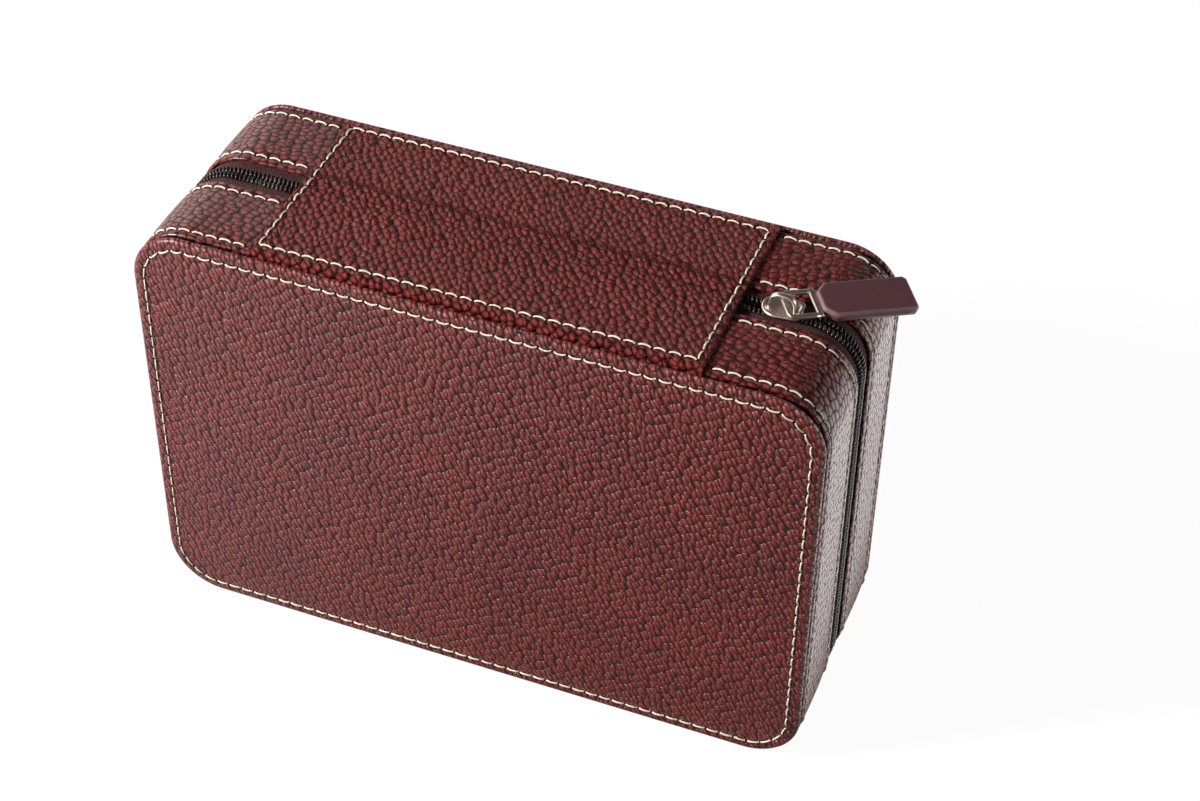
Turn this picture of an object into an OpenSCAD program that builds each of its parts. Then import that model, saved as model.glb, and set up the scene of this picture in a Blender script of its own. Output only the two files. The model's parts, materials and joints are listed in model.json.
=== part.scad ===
// Zip-round travel case for eight watches: two leather-covered half shells that
// open like a book on a leather spine, closed by one coil zip round three sides.
// The case stands on its long side: X along it, Y through its depth, Z up.
// The base half is the rear one (+Y) and the lid is the front one (-Y).

/* [Case] */
// Width of the closed case
case_w = 240; // [220:5:280]
// Height of the closed case as it stands
case_h = 161.5; // [150:0.5:200]
// Depth of the closed case, face to face
case_d = 84; // [76:1:96]
// Corner radius of the outline
corner_r = 19.5; // [16:0.5:26]
// Opening between the two leather edges that the zip shows in
zip_gap = 14; // [13:0.5:18]

/* [Leather and boards] */
// Thickness of the side band's leather
leather_t = 1.4; // [1.2:0.1:1.8]
// Thickness of the moulded board wall
board_t = 2.4; // [2:0.1:3.5]
// Thickness of the moulded board's back
back_t = 2.2; // [1.8:0.1:3]
// Thickness of the suede lining
lining_t = 0.8; // [0.5:0.1:1.2]
// Thickness of a face panel, board and leather
panel_t = 2.5; // [2.5:0.1:4]
// Thickness of the leather round a face panel's board
face_leather_t = 1; // [0.8:0.1:1.4]
// Width of the groove between band and face panel
groove_w = 1.2; // [1:0.1:2]
// Depth of the groove between band and face panel
groove_deep = 2.2; // [1.6:0.1:3]
// Setback of the board wall behind the band's folded edge
rim_setback = 1; // [0.6:0.1:2]

/* [Spine patch] */
// Gap between the patch's ends and the start of the round corners
patch_corner_gap = 22.5; // [20:0.5:50]
// Thickness of the patch
patch_t = 1.6; // [1.2:0.1:2.2]
// Setback of the patch's long edges from the band's edge
patch_setback = 0.4; // [0.2:0.1:1]
// Thickness of the lining strip inside the fold
gusset_t = 0.8; // [0.5:0.1:1.2]
// Gap between the lining strip's ends and the zip stops
gusset_end_gap = 1.5; // [0.5:0.5:6]

/* [Inside] */
// Watch places along the case
cell_columns = 4; // [3, 4]
// Watch places across the case
cell_rows = 2; // [1, 2]
// Thickness of a divider
divider_t = 2.4; // [1.6:0.1:4]
// How far the dividers stop below the rim
divider_drop = 1.5; // [1:0.5:6]
// Room beside a cushion for the watch strap
strap_room = 2.2; // [1.5:0.1:4]
// Height of a watch cushion
cushion_h = 30; // [24:1:31]
// Corner radius of a cushion
cushion_r = 9; // [6:0.5:12]
// Edge rounding of a cushion
cushion_edge = 5; // [3:0.5:7]
// Thickness of the padded insert in the lid
pad_t = 8; // [5:0.5:11]
// Edge rounding of the padded insert
pad_edge = 2.5; // [1.5:0.25:4]
// Gap that soft pieces keep to their neighbours
soft_gap = 0.3; // [0.25:0.05:0.6]

/* [Zip] */
// Width of one coil
coil_w = 3.5; // [3:0.1:3.8]
// Height of the coil
coil_t = 2.4; // [2:0.1:3]
// Gap between the two coils when closed
coil_gap = 0.3; // [0.2:0.05:0.6]
// Gap between the two coils where they are parted
coil_split = 2.4; // [2:0.1:2.8]
// Depth of the coil's top below the band's surface
coil_drop = 0.3; // [0:0.1:0.8]
// Thickness of the zip tape
tape_t = 0.6; // [0.4:0.05:0.8]
// Width of tape held under the band's leather
tape_under = 10; // [8:0.5:12]
// Length of zip that runs on under the patch at each end
zip_tuck = 6; // [5:0.5:10]
// Length of a zip stop
stop_l = 2.4; // [2:0.1:3.5]

/* [Slider] */
// Length of the slider
slider_l = 13.6; // [12:0.2:15]
// Width of the slider's wide end
slider_w = 11; // [10.4:0.1:12]
// Width of the slider's narrow end
slider_tail_w = 9.6; // [9.2:0.1:10]
// Thickness of the slider's plates
plate_t = 1.2; // [1:0.1:1.4]
// Gap between the slider and the coil and tape
slider_gap = 0.2; // [0.15:0.05:0.25]
// Length of the slider's post
post_l = 2.6; // [2:0.1:3.2]
// Width of the slider's post
post_w = 1.6; // [1.2:0.1:1.8]
// Setback of the post from the slider's wide end
post_setback = 0.5; // [0.3:0.1:1]
// Gap between the slider's rounding centre and the start of the round corner
slider_corner_gap = 10.6; // [10:0.2:13]
// Length of the bridge
bridge_l = 9.6; // [8.5:0.1:10.5]
// Width of the bridge
bridge_w = 2; // [1.6:0.1:2.2]
// Thickness of the bridge
bridge_t = 1.2; // [1:0.1:1.4]
// Clear height under the bridge
bridge_rise = 3.8; // [3.6:0.1:4.4]

/* [Puller] */
// Thickness of the loop's bars
bar_d = 1.4; // [1.2:0.1:1.6]
// Gap between the loop's bar and the top of the bridge
loop_gap = 0.45; // [0.4:0.05:0.6]
// Length of the loop between the centres of its end bars
loop_l = 10; // [7.5:0.1:11]
// Width of the loop between the centres of its side bars
loop_w = 10.4; // [9.5:0.1:11]
// How far the loop's upper side bar lies from the bridge's middle
loop_side = 2.7; // [2.5:0.1:3.2]
// Width of the loop's flat far bar
far_bar_w = 2; // [1.6:0.1:2.4]
// Length of the pull tab
tab_l = 32; // [24:1:36]
// Width of the pull tab
tab_w = 15; // [13:0.5:16]
// Thickness of the pull tab
tab_t = 3.6; // [3:0.1:4]
// Corner cut of the tab at the loop's end
tab_cut = 3.6; // [2:0.1:4.5]
// Corner cut of the tab at its free end
tab_end_cut = 1.2; // [0.6:0.1:2]
// Length of the metal tongue inside the tab
tongue_l = 9; // [6:0.5:14]
// Width of the metal tongue inside the tab
tongue_w = 8; // [5:0.5:9]
// Thickness of the metal tongue
tongue_t = 0.8; // [0.6:0.1:1]
// Turn of the puller away from the zip's line
puller_yaw = 37; // [34:1:48]
// Gap between the tab and the case's corner that it droops over
tab_rest_gap = 0.8; // [0.4:0.05:1]
// Sideways tilt of the puller
puller_roll = 8; // [4:0.5:8.5]

/* [Hidden] */
$fn = 96;

// How far a cutting shape runs past what it cuts
cut = 1;

// Depths, measured from the zip's middle plane
rim_y = zip_gap / 2;
board_rim_y = rim_y + rim_setback;
panel_y = case_d / 2 - panel_t;
lip_y = panel_y - groove_w;
back_y = panel_y - back_t;
floor_y = back_y - lining_t;

// Insets from the case's outline
board_in = leather_t;
lining_in = board_in + board_t;
inside_in = lining_in + lining_t;

// The origin is the middle of the base half's standing face
stand_y = (rim_y + lip_y) / 2;

// Where the top ends and its round corners start, and the patch's length between them
corner_x = case_w / 2 - corner_r;
patch_w = 2 * (corner_x - patch_corner_gap);

// Inside the base
inside_w = case_w - 2 * inside_in;
inside_h = case_h - 2 * inside_in;
inside_r = corner_r - inside_in;
cell_w = (inside_w - (cell_columns - 1) * divider_t) / cell_columns;
cell_h = (inside_h - (cell_rows - 1) * divider_t) / cell_rows;
divider_y = board_rim_y + divider_drop;
slot_deep = (floor_y - divider_y) / 2;

// The zip's levels under the top of the case
coil_top = case_h - coil_drop;
tape_top = case_h - leather_t;
zip_end_x = patch_w / 2 - zip_tuck;
gusset_end_x = zip_end_x - stop_l - gusset_end_gap;

// The slider
slider_x = corner_x - slider_corner_gap;
slider_end = slider_l - slider_w / 2;
plate_low = coil_top + slider_gap;
plate_top = plate_low + plate_t;
sole_top = coil_top - coil_t - slider_gap;
coil_out = coil_gap / 2 + coil_w;
bridge_x = slider_x + (slider_end - slider_w / 2) / 2;
pivot_z = plate_top + bridge_rise - bar_d / 2 - loop_gap;

// The puller droops until the high side of its tab lies over the corner's arc: the slope is
// that of the tangent from the tab's underside, above the pivot, to the arc and its gap
tab_mid_y = loop_side - loop_w / 2;
tab_high_y = tab_mid_y + tab_w / 2;
arc_dx = corner_x - bridge_x + tab_high_y * sin(puller_yaw);
arc_dz = pivot_z + tab_high_y * sin(puller_roll) - tab_t / 2 - (case_h - corner_r);
tab_slope = atan2(arc_dz, arc_dx) - asin((corner_r + tab_rest_gap) / norm([arc_dx, arc_dz]));
puller_droop = atan(tan(tab_slope) * cos(puller_yaw));

colour_leather = [0.42, 0.22, 0.21];
colour_board = [0.30, 0.24, 0.20];
colour_suede = [0.86, 0.80, 0.70];
colour_zip = [0.20, 0.12, 0.12];
colour_nickel = [0.78, 0.74, 0.70];
colour_tab = [0.42, 0.27, 0.28];

// ---- Helpers ----

// Moves the shapes from the zip's middle plane to the object's own origin.
module placed() {
    translate([0, -stand_y, 0]) children();
}

// A rectangle with round corners, centred on the origin.
module round_rect(w, h, r) {
    square([w, h - 2 * r], center = true);
    square([w - 2 * r, h], center = true);
    for (x = [-1, 1], y = [-1, 1])
        translate([x * (w / 2 - r), y * (h / 2 - r)]) circle(r);
}

// The case's outline, set in by a distance and as deep as from y0 to y1.
module slab(inset, y0, y1) {
    translate([0, y1, case_h / 2]) rotate([90, 0, 0])
        linear_extrude(y1 - y0)
            round_rect(case_w - 2 * inset, case_h - 2 * inset, corner_r - inset);
}

// A closed ring of wall between two insets.
module ring(inset_out, inset_in, y0, y1) {
    difference() {
        slab(inset_out, y0, y1);
        slab(inset_in, y0 - cut, y1 + cut);
    }
}

// A ring without the stretch under the spine patch.
module open_ring(inset_out, inset_in, y0, y1) {
    difference() {
        ring(inset_out, inset_in, y0, y1);
        translate([-zip_end_x, y0 - cut, case_h / 2])
            cube([2 * zip_end_x, y1 - y0 + 2 * cut, case_h]);
    }
}

// The lid's pieces are the base's, mirrored in the zip's middle plane.
module lid_side() {
    mirror([0, 1, 0]) children();
}

// ---- Pieces that both halves have ----

// Moulded board: a wall that is thinner where the tape lies on it, and a back.
module half_shell() {
    tape_seat = board_in + tape_t;
    difference() {
        union() {
            slab(tape_seat, board_rim_y, rim_y + tape_under);
            slab(board_in, rim_y + tape_under, lip_y);
            slab(groove_deep, lip_y, panel_y);
        }
        slab(lining_in, board_rim_y - cut, back_y);
    }
}

// Suede on the wall and the back.
module half_lining() {
    difference() {
        slab(lining_in, board_rim_y, back_y);
        slab(inside_in, board_rim_y - cut, floor_y);
    }
}

// Leather round the sides, from the zip to the groove.
module half_band() {
    ring(0, board_in, rim_y, lip_y);
}

// Flat board of a face panel.
module half_face_board() {
    slab(face_leather_t, panel_y, case_d / 2 - face_leather_t);
}

// Leather over the face board, turned over its edges.
module half_face_leather() {
    difference() {
        slab(0, panel_y, case_d / 2);
        slab(face_leather_t, panel_y - cut, case_d / 2 - face_leather_t);
    }
}

// Woven tape from the coil to under the band.
module half_tape() {
    open_ring(board_in, board_in + tape_t, coil_out, rim_y + tape_under);
}

// One coil, set back where the slider parts it from its mate.
module half_coil() {
    difference() {
        open_ring(coil_drop, coil_drop + coil_t, coil_gap / 2, coil_out);
        translate([zip_end_x - cut, -cut, coil_top - coil_t - cut])
            cube([slider_x - zip_end_x + cut, cut + coil_split / 2, coil_t + 2 * cut]);
    }
}

// Metal stop pressed on the coil's end.
module half_top_stop() {
    translate([zip_end_x - stop_l, coil_split / 2, coil_top - coil_t])
        cube([stop_l, coil_out - coil_split / 2, coil_t]);
}

// Spine patch on top of one half.
module half_flap() {
    translate([-patch_w / 2, rim_y, case_h])
        cube([patch_w, lip_y - patch_setback - rim_y, patch_t]);
}

// ---- Spine ----

module spine_fold_strip() {
    color(colour_leather)
        translate([-patch_w / 2, -rim_y, case_h]) cube([patch_w, zip_gap, patch_t]);
}

module hinge_gusset() {
    color(colour_suede)
        translate([-gusset_end_x, -rim_y, case_h - gusset_t])
            cube([2 * gusset_end_x, zip_gap, gusset_t]);
}

// ---- Inside ----

// Board along the middle, slotted from the front for the cross boards.
module long_divider() {
    color(colour_suede)
        difference() {
            translate([-inside_w / 2, divider_y, (case_h - divider_t) / 2])
                cube([inside_w, floor_y - divider_y, divider_t]);
            for (i = [1 : cell_columns - 1])
                translate([divider_x(i), divider_y - cut, case_h / 2 - divider_t])
                    cube([divider_t, slot_deep + cut, 2 * divider_t]);
        }
}

// Board across the case, slotted from the back for the long board.
module cross_divider(i) {
    color(colour_suede)
        difference() {
            translate([divider_x(i), divider_y, inside_in])
                cube([divider_t, floor_y - divider_y, inside_h]);
            if (cell_rows > 1)
                translate([divider_x(i) - cut, divider_y + slot_deep, (case_h - divider_t) / 2])
                    cube([divider_t + 2 * cut, slot_deep + cut, divider_t]);
        }
}

// Left side of a cross divider.
function divider_x(i) = -inside_w / 2 + i * cell_w + (i - 1) * divider_t;

// A block with round corners and a front edge that rounds in steps; its back is at y = 0.
module soft_block(w, h, t, r, edge) {
    steps = 5;
    rotate([90, 0, 0])
        for (k = [0 : steps]) {
            turn = 90 * k / steps;
            pull = edge * (1 - cos(turn));
            linear_extrude(t - edge + edge * sin(turn))
                round_rect(w - 2 * pull, h - 2 * pull, r - pull / 2);
        }
}

// Cushion that a watch is strapped round, counted along the bottom row first.
module watch_cushion(n) {
    col = (n - 1) % cell_columns;
    row = floor((n - 1) / cell_columns);
    color(colour_suede)
        translate([
            -inside_w / 2 + cell_w / 2 + col * (cell_w + divider_t),
            floor_y - soft_gap,
            inside_in + cell_h / 2 + row * (cell_h + divider_t)
        ])
            soft_block(cell_w - 2 * strap_room, cell_h - 2 * strap_room, cushion_h,
                cushion_r, cushion_edge);
}

// Padded insert on the lid's back.
module lid_pad() {
    color(colour_suede)
        translate([0, soft_gap - floor_y, case_h / 2]) mirror([0, 1, 0])
            soft_block(inside_w - 2 * soft_gap, inside_h - 2 * soft_gap, pad_t,
                inside_r - soft_gap, pad_edge);
}

// ---- Zip ----

// Stop that joins both coils at the opening end.
module zip_bottom_stop() {
    color(colour_nickel)
        translate([-zip_end_x, -coil_out, coil_top - coil_t])
            cube([stop_l, 2 * coil_out, coil_t]);
}

// Plan of a slider plate: a round wide end and a tapering tail.
module plate_plan() {
    circle(d = slider_w);
    polygon([
        [0, -slider_w / 2], [slider_end, -slider_tail_w / 2],
        [slider_end, slider_tail_w / 2], [0, slider_w / 2]
    ]);
}

// Side walls of a plate, outside the coils.
module plate_walls(h) {
    linear_extrude(h)
        difference() {
            plate_plan();
            square([2 * slider_l, 2 * (coil_out + slider_gap)], center = true);
        }
}

// Two plates with a post between them, and side walls that leave a slot for the tape.
module slider_body() {
    sole_low = sole_top - plate_t;
    upper_wall = tape_top + slider_gap;
    lower_wall = tape_top - tape_t - slider_gap;
    color(colour_nickel)
        translate([slider_x, 0, 0]) {
            translate([0, 0, plate_low]) linear_extrude(plate_t) plate_plan();
            translate([0, 0, sole_low]) linear_extrude(plate_t) plate_plan();
            translate([0, 0, upper_wall]) plate_walls(plate_low - upper_wall);
            translate([0, 0, sole_top]) plate_walls(lower_wall - sole_top);
            translate([post_setback - slider_w / 2, -post_w / 2, sole_top])
                cube([post_l, post_w, plate_low - sole_top]);
        }
}

// Arch that holds the puller's loop.
module slider_bridge() {
    out_r = bridge_rise / 2;
    in_r = out_r - bridge_t / 2;
    arch_h = bridge_rise + bridge_t;
    color(colour_nickel)
        translate([bridge_x, bridge_w / 2, plate_top]) rotate([90, 0, 0])
            linear_extrude(bridge_w)
                intersection() {
                    translate([-slider_l / 2, 0]) square([slider_l, arch_h]);
                    difference() {
                        round_rect(bridge_l, 2 * arch_h, out_r);
                        round_rect(bridge_l - 2 * bridge_t, 2 * bridge_rise, in_r);
                    }
                }
}

// The puller's own frame: X along the puller, Y along the hinge bar.
module puller_frame() {
    translate([bridge_x, 0, pivot_z])
        rotate([puller_roll, puller_droop, puller_yaw]) children();
}

// Wire loop with round corners at the bridge, a flat far bar and a tongue.
module puller_loop() {
    far_x = loop_l - bar_d / 2;
    low_y = loop_side - loop_w;
    color(colour_nickel)
        puller_frame() {
            translate([0, low_y, 0]) rotate([-90, 0, 0]) cylinder(d = bar_d, h = loop_w);
            for (y = [low_y, loop_side])
                translate([0, y, 0]) {
                    sphere(d = bar_d);
                    rotate([0, 90, 0]) cylinder(d = bar_d, h = loop_l);
                }
            translate([far_x, low_y - bar_d / 2, -bar_d / 2])
                cube([far_bar_w, loop_w + bar_d, bar_d]);
            translate([far_x + far_bar_w / 2, tab_mid_y - tongue_w / 2, -tongue_t / 2])
                cube([far_bar_w / 2 + tongue_l, tongue_w, tongue_t]);
        }
}

// Moulded tab over the tongue.
module puller_tab() {
    start_x = loop_l - bar_d / 2 + far_bar_w;
    end_x = start_x + tab_l;
    half = tab_w / 2;
    color(colour_tab)
        puller_frame() translate([0, tab_mid_y, 0])
            difference() {
                translate([0, 0, -tab_t / 2]) linear_extrude(tab_t)
                    polygon([
                        [start_x, tab_cut - half], [start_x + tab_cut, -half],
                        [end_x - tab_end_cut, -half], [end_x, tab_end_cut - half],
                        [end_x, half - tab_end_cut], [end_x - tab_end_cut, half],
                        [start_x + tab_cut, half], [start_x, half - tab_cut]
                    ]);
                translate([start_x - cut, -tongue_w / 2, -tongue_t / 2])
                    cube([cut + tongue_l, tongue_w, tongue_t]);
            }
}

// ---- Base half ----

placed() color(colour_board) half_shell();  // base_shell
placed() color(colour_suede) half_lining();  // base_lining
placed() color(colour_leather) half_band();  // base_side_band
placed() color(colour_board) half_face_board();  // base_face_board
placed() color(colour_leather) half_face_leather();  // base_face_leather
placed() color(colour_zip) half_tape();  // base_zip_tape
placed() color(colour_zip) half_coil();  // base_zip_coil
placed() color(colour_nickel) half_top_stop();  // base_top_stop
placed() zip_bottom_stop();
placed() color(colour_leather) half_flap();  // spine_rear_flap
placed() long_divider();
for (i = [1 : cell_columns - 1])
    placed() cross_divider(i);
for (i = [1 : cell_columns * cell_rows])
    placed() watch_cushion(i);

// ---- Spine ----

placed() spine_fold_strip();
placed() hinge_gusset();

// ---- Lid half ----

placed() lid_side() color(colour_board) half_shell();  // lid_shell
placed() lid_side() color(colour_suede) half_lining();  // lid_lining
placed() lid_side() color(colour_leather) half_band();  // lid_side_band
placed() lid_side() color(colour_board) half_face_board();  // lid_face_board
placed() lid_side() color(colour_leather) half_face_leather();  // lid_face_leather
placed() lid_side() color(colour_zip) half_tape();  // lid_zip_tape
placed() lid_side() color(colour_zip) half_coil();  // lid_zip_coil
placed() lid_side() color(colour_nickel) half_top_stop();  // lid_top_stop
placed() lid_side() color(colour_leather) half_flap();  // spine_front_flap
placed() lid_pad();

// ---- Slider and puller ----

placed() slider_body();
placed() slider_bridge();
placed() puller_loop();
placed() puller_tab();
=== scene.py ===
"""Watch travel case: the looks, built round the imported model.

Lengths are in millimetres, measured from the zip's middle plane, until a mesh is made.
"""
import json
import math

import bmesh
import bpy
import numpy as np
from mathutils import Matrix, Vector


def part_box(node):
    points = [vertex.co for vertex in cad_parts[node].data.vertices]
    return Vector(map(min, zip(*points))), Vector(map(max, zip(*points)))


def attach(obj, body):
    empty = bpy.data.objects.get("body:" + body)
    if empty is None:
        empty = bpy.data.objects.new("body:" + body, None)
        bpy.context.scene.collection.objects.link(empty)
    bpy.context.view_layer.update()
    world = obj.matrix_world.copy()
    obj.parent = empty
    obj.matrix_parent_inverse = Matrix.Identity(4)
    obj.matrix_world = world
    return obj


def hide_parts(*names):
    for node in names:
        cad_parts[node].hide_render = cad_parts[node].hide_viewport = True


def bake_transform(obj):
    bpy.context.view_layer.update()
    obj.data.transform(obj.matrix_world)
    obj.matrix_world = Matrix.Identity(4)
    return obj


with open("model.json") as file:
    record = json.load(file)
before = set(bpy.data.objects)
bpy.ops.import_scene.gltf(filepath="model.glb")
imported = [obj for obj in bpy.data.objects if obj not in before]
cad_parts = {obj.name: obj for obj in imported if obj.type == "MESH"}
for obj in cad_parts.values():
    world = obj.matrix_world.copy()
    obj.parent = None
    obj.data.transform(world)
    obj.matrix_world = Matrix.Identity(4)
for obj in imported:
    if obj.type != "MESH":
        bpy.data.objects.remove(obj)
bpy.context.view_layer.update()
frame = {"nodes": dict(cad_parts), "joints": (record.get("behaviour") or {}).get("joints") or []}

# ---- Sizes ----

MM = 0.001


def box_mm(node):
    """A node's corners in millimetres from the zip's middle plane."""
    low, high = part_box(node)
    return np.array(low) / MM - SHIFT, np.array(high) / MM - SHIFT


SHIFT = np.zeros(3)
SHIFT[1] = (box_mm("lid_side_band")[1][1] + box_mm("base_side_band")[0][1]) / 2

BAND_LOW, BAND_HIGH = box_mm("base_side_band")
CASE_W = BAND_HIGH[0] - BAND_LOW[0]
CASE_H = BAND_HIGH[2]
RIM_Y = BAND_LOW[1]
LIP_Y = BAND_HIGH[1]
PANEL_Y = box_mm("base_face_leather")[0][1]
FACE_Y = box_mm("base_face_leather")[1][1]
MID_Y = float(SHIFT[1])
GROOVE_MID = float(LIP_Y + PANEL_Y) / 2
PATCH_HALF = box_mm("spine_fold_strip")[1][0]
PATCH_TOP = box_mm("spine_fold_strip")[1][2]
ZIP_END = -box_mm("zip_bottom_stop")[0][0]
COIL_LOW, COIL_HIGH = box_mm("base_zip_coil")
TAPE_HIGH = box_mm("base_zip_tape")[1]
SLIDER_LOW, SLIDER_HIGH = box_mm("slider_body")
BRIDGE_LOW, BRIDGE_HIGH = box_mm("slider_bridge")

CORNER_R = 19.5
CORE_X = CASE_W / 2 - CORNER_R
CORE_Z = CASE_H / 2 - CORNER_R
BAND_T = 1.35  # the side band's wall
GROOVE_DEEP = 2.3
STITCH = 5.0  # from hole to hole, about
SAMPLES = 4  # stations of the mesh to a stitch
CHANNEL = 0.28  # how deep a row is sewn in, and how much deeper at a hole
PUCKER = 0.14
NO_ROW = 9.0  # a distance that no row, hole or fold marks
GRAIN_MAP = "grain"  # the UV map of the leathers and tapes, in millimetres

# Each half's side of the middle plane
SIDES = {"base": 1.0, "lid": -1.0}

# ---- Camera, stage and light ----

CAMERA_AT = (253.71, -595.93, 668.82)
CAMERA_AZ, CAMERA_EL, CAMERA_ROLL = (math.radians(a) for a in (20.55, 41.67, 1.09))
CAMERA_LENS = 75.69


def metres(points):
    """Points in millimetres from the middle plane, as metres in the shared frame."""
    return (np.asarray(points, float) + SHIFT) * MM


def linked(name, data):
    obj = bpy.data.objects.new(name, data)
    bpy.context.scene.collection.objects.link(obj)
    return obj


camera = linked("camera", bpy.data.cameras.new("camera"))
camera.data.lens = CAMERA_LENS
camera.data.sensor_width = 36
camera.data.clip_start = 0.01
back = Vector((math.sin(CAMERA_AZ) * math.cos(CAMERA_EL),
               -math.cos(CAMERA_AZ) * math.cos(CAMERA_EL), math.sin(CAMERA_EL)))
right = Vector((math.cos(CAMERA_AZ), math.sin(CAMERA_AZ), 0))
up = back.cross(right)
turned_right = right * math.cos(CAMERA_ROLL) + up * math.sin(CAMERA_ROLL)
turned_up = up * math.cos(CAMERA_ROLL) - right * math.sin(CAMERA_ROLL)
camera.matrix_world = Matrix.Translation(metres(CAMERA_AT)) @ Matrix(
    (turned_right, turned_up, back)).transposed().to_4x4()
bpy.context.scene.camera = camera
bpy.context.scene.view_settings.view_transform = "Standard"

# ---- Shader maths ----


def new_node(tree, kind, settings=None, inputs=None):
    """Makes a node: its settings first, then the values or links of its sockets."""
    made = tree.nodes.new(kind)
    for key, value in (settings or {}).items():
        if key == "stops":
            ramp = made.color_ramp.elements
            while len(ramp) < len(value):
                ramp.new(1.0)
            for stop, (at, colour) in zip(ramp, value):
                stop.position, stop.color = at, colour
        else:
            setattr(made, key, value)
    for key, value in (inputs or {}).items():
        if isinstance(value, bpy.types.NodeSocket):
            tree.links.new(value, made.inputs[key])
        else:
            made.inputs[key].default_value = value
    return made


class Value:
    """A socket that arithmetic works on."""

    def __init__(self, paint, socket):
        self.paint, self.socket = paint, socket

    def __add__(self, other):
        return self.paint.maths("ADD", self, other)

    def __sub__(self, other):
        return self.paint.maths("SUBTRACT", self, other)

    def __rsub__(self, other):
        return self.paint.maths("SUBTRACT", other, self)

    def __mul__(self, other):
        return self.paint.maths("MULTIPLY", self, other)

    def __truediv__(self, other):
        return self.paint.maths("DIVIDE", self, other)

    __radd__ = __add__
    __rmul__ = __mul__


class Paint:
    """A material or world, and the one way its nodes are made."""

    def __init__(self, name, owner=None):
        self.owner = owner or bpy.data.materials.new(name)
        self.owner.use_nodes = True
        self.tree = self.owner.node_tree
        self.tree.nodes.clear()

    def node(self, kind, settings=None, inputs=None, out=0):
        links = {key: value.socket if isinstance(value, Value) else value
                 for key, value in (inputs or {}).items()}
        made = new_node(self.tree, kind, settings, links)
        return Value(self, made.outputs[out]) if made.outputs else None

    def maths(self, operation, a, b=0.0):
        return self.node("ShaderNodeMath", {"operation": operation}, {0: a, 1: b})

    def smooth(self, value, low, high):
        return self.node("ShaderNodeMapRange", {"interpolation_type": "SMOOTHSTEP"},
                         {"Value": value, "From Min": low, "From Max": high})

    def mix(self, share, a, b, blend="MIX"):
        return self.node("ShaderNodeMix", {"data_type": "RGBA", "blend_type": blend},
                         {0: share, 6: a, 7: b}, out=2)

    def place(self):
        return self.node("ShaderNodeTexCoord", out="Object")

    def object_mm(self):
        return self.node("ShaderNodeVectorMath", {"operation": "SCALE"},
                         {0: self.place(), "Scale": 1 / MM})

    def uv_mm(self):
        return self.node("ShaderNodeUVMap", {"uv_map": GRAIN_MAP})

    def mapped(self, place, turn=(0, 0, 0), size=(1, 1, 1), shift=(0, 0, 0)):
        """Turns a pattern, stretches it to this size and shifts it."""
        return self.node("ShaderNodeMapping", {"vector_type": "TEXTURE"},
                         {"Vector": place, "Rotation": turn, "Scale": size, "Location": shift})

    def noise(self, place, scale, detail=2.0, rough=0.5, dims="3D", out=0):
        return self.node("ShaderNodeTexNoise", {"noise_dimensions": dims},
                         {"Vector": place, "Scale": scale, "Detail": detail,
                          "Roughness": rough}, out=out)

    def cells(self, place, feature="F1", out=0):
        inputs = {"Vector": place, "Scale": 1.0, "Randomness": 0.68}
        if feature == "SMOOTH_F1":
            inputs["Smoothness"] = 0.3
        return self.node("ShaderNodeTexVoronoi",
                         {"voronoi_dimensions": "2D", "feature": feature}, inputs, out=out)

    def axis(self, vector, which):
        return self.node("ShaderNodeSeparateXYZ", None, {0: vector}, out=which)

    def attribute(self, name):
        return self.node("ShaderNodeAttribute", {"attribute_name": name}, out=2)

    def warped(self, place, wave, amount):
        bent = self.node("ShaderNodeVectorMath", {"operation": "SUBTRACT"},
                         {0: wave, 1: (0.5, 0.5, 0.5)})
        return self.node("ShaderNodeVectorMath", {"operation": "MULTIPLY_ADD"},
                         {0: bent, 1: (amount,) * 3, 2: place})

    def bump(self, height, distance, strength=1.0):
        return self.node("ShaderNodeBump", None,
                         {"Height": height, "Distance": distance * MM, "Strength": strength})

    def surface(self, colour, roughness, normal=None, metallic=0.0, **plain):
        inputs = {"Base Color": colour, "Roughness": roughness, "Metallic": metallic}
        if normal is not None:
            inputs["Normal"] = normal
        inputs.update({key.replace("_", " "): value for key, value in plain.items()})
        return self.finish(self.node("ShaderNodeBsdfPrincipled", None, inputs))

    def plain(self, kind, grey=1.0, **inputs):
        """A shader of one grey, or of the Color given."""
        return self.node(kind, None, {"Color": (grey, grey, grey, 1.0), **inputs})

    def either(self, share, a, b):
        return self.node("ShaderNodeMixShader", None, {0: share, 1: a, 2: b})

    def ray_is(self, *kinds):
        """One for rays of these kinds."""
        seen = sum(self.node("ShaderNodeLightPath", out=f"Is {kind} Ray") for kind in kinds)
        return self.maths("MINIMUM", seen, 1.0)

    def finish(self, shader, output="ShaderNodeOutputMaterial"):
        self.node(output, None, {"Surface": shader})
        return self.owner


def srgb(*channels):
    """A colour as read off a swatch, made linear, with full alpha."""
    return (*[((c / 255 + 0.055) / 1.055) ** 2.4 if c > 10 else c / 3294.6 for c in channels], 1.0)


# ---- World, floor and lamps ----

WORLD_FILL = 0.12
CEILING = 0.05
world = bpy.data.worlds.new("studio")
bpy.context.scene.world = world
air = Paint("studio", world)
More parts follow.
